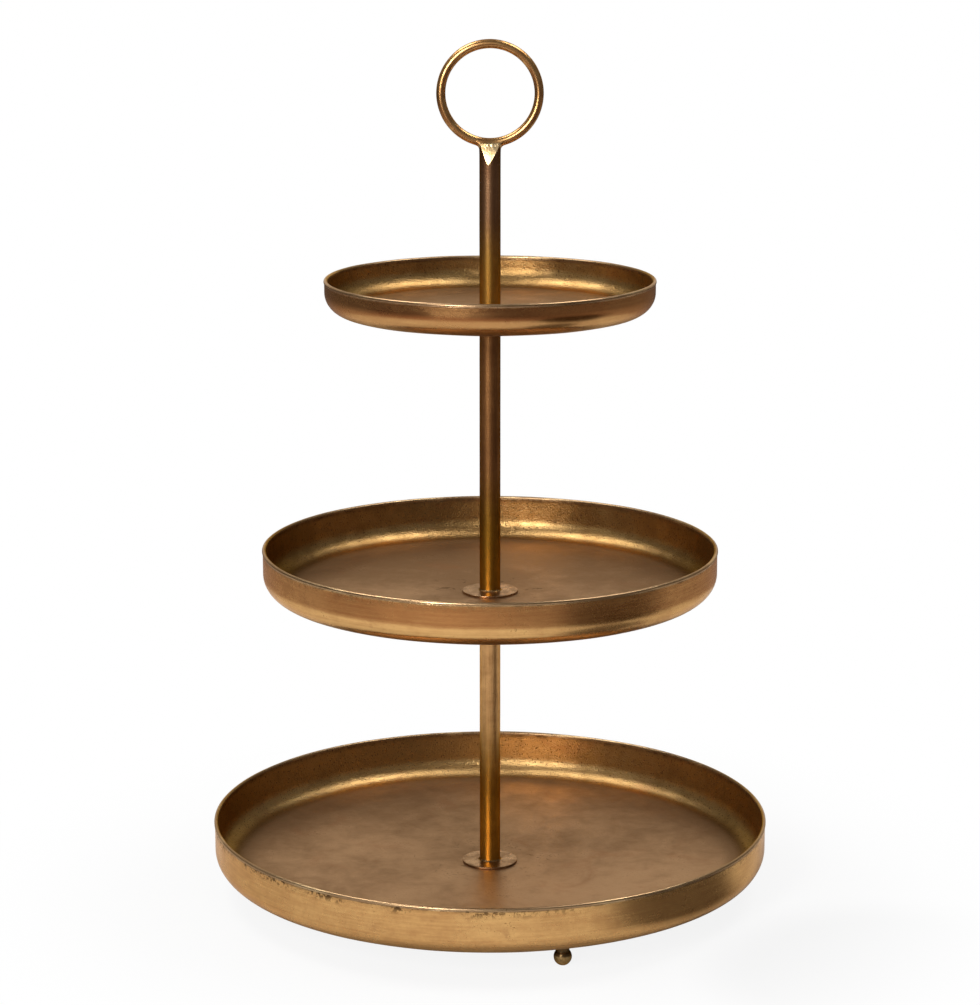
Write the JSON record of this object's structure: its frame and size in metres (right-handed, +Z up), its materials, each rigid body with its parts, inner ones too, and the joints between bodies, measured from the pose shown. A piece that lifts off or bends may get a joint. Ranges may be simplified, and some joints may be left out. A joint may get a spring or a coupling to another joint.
{
  "type": "etagere",
  "caption": "Tiered serving stand: round rimmed metal trays stacked on a central tube, with a ring handle on top and small ball feet underneath.",
  "frame": {"origin": "on the table, under the middle of the stand", "axes": "+Z up along the central tube, X along the ring's plane, the front with the visible foot towards -Y"},
  "size_m": [0.35, 0.35, 0.5344],
  "materials": {
    "tray_brass": "antique brass, brushed round the tray, worn bright at the rim and spotted with dark patina",
    "rod_brass": "antique brass, brushed, with dark patina",
    "flange_brass": "antique brass, satin, dark at the edge",
    "ring_brass": "antique brass, rubbed bright",
    "foot_brass": "antique brass, dark",
    "braze": "filed braze metal",
    "steel": "plain zinc-plated fastener"
  },
  "bodies": {
    "root": {"bottom_tray": "tray_brass", "middle_tray": "tray_brass", "top_tray": "tray_brass", "lower_rod": "rod_brass", "middle_rod": "rod_brass", "upper_rod": "rod_brass", "bottom_flange": "flange_brass", "middle_flange": "flange_brass", "top_flange": "flange_brass", "rod_braze": "braze", "lower_rod_foot_insert": "steel", "lower_rod_head_insert": "steel", "middle_rod_foot_insert": "steel", "middle_rod_head_insert": "steel", "upper_rod_foot_insert": "steel", "middle_stud": "steel", "top_stud": "steel", "base_bolt": "steel", "base_washer": "steel", "ring_handle": "ring_brass", "ring_braze": "braze", "front_foot": "foot_brass", "right_foot": "foot_brass", "left_foot": "foot_brass", "foot_braze": "braze"}
  },
  "joints": []
}
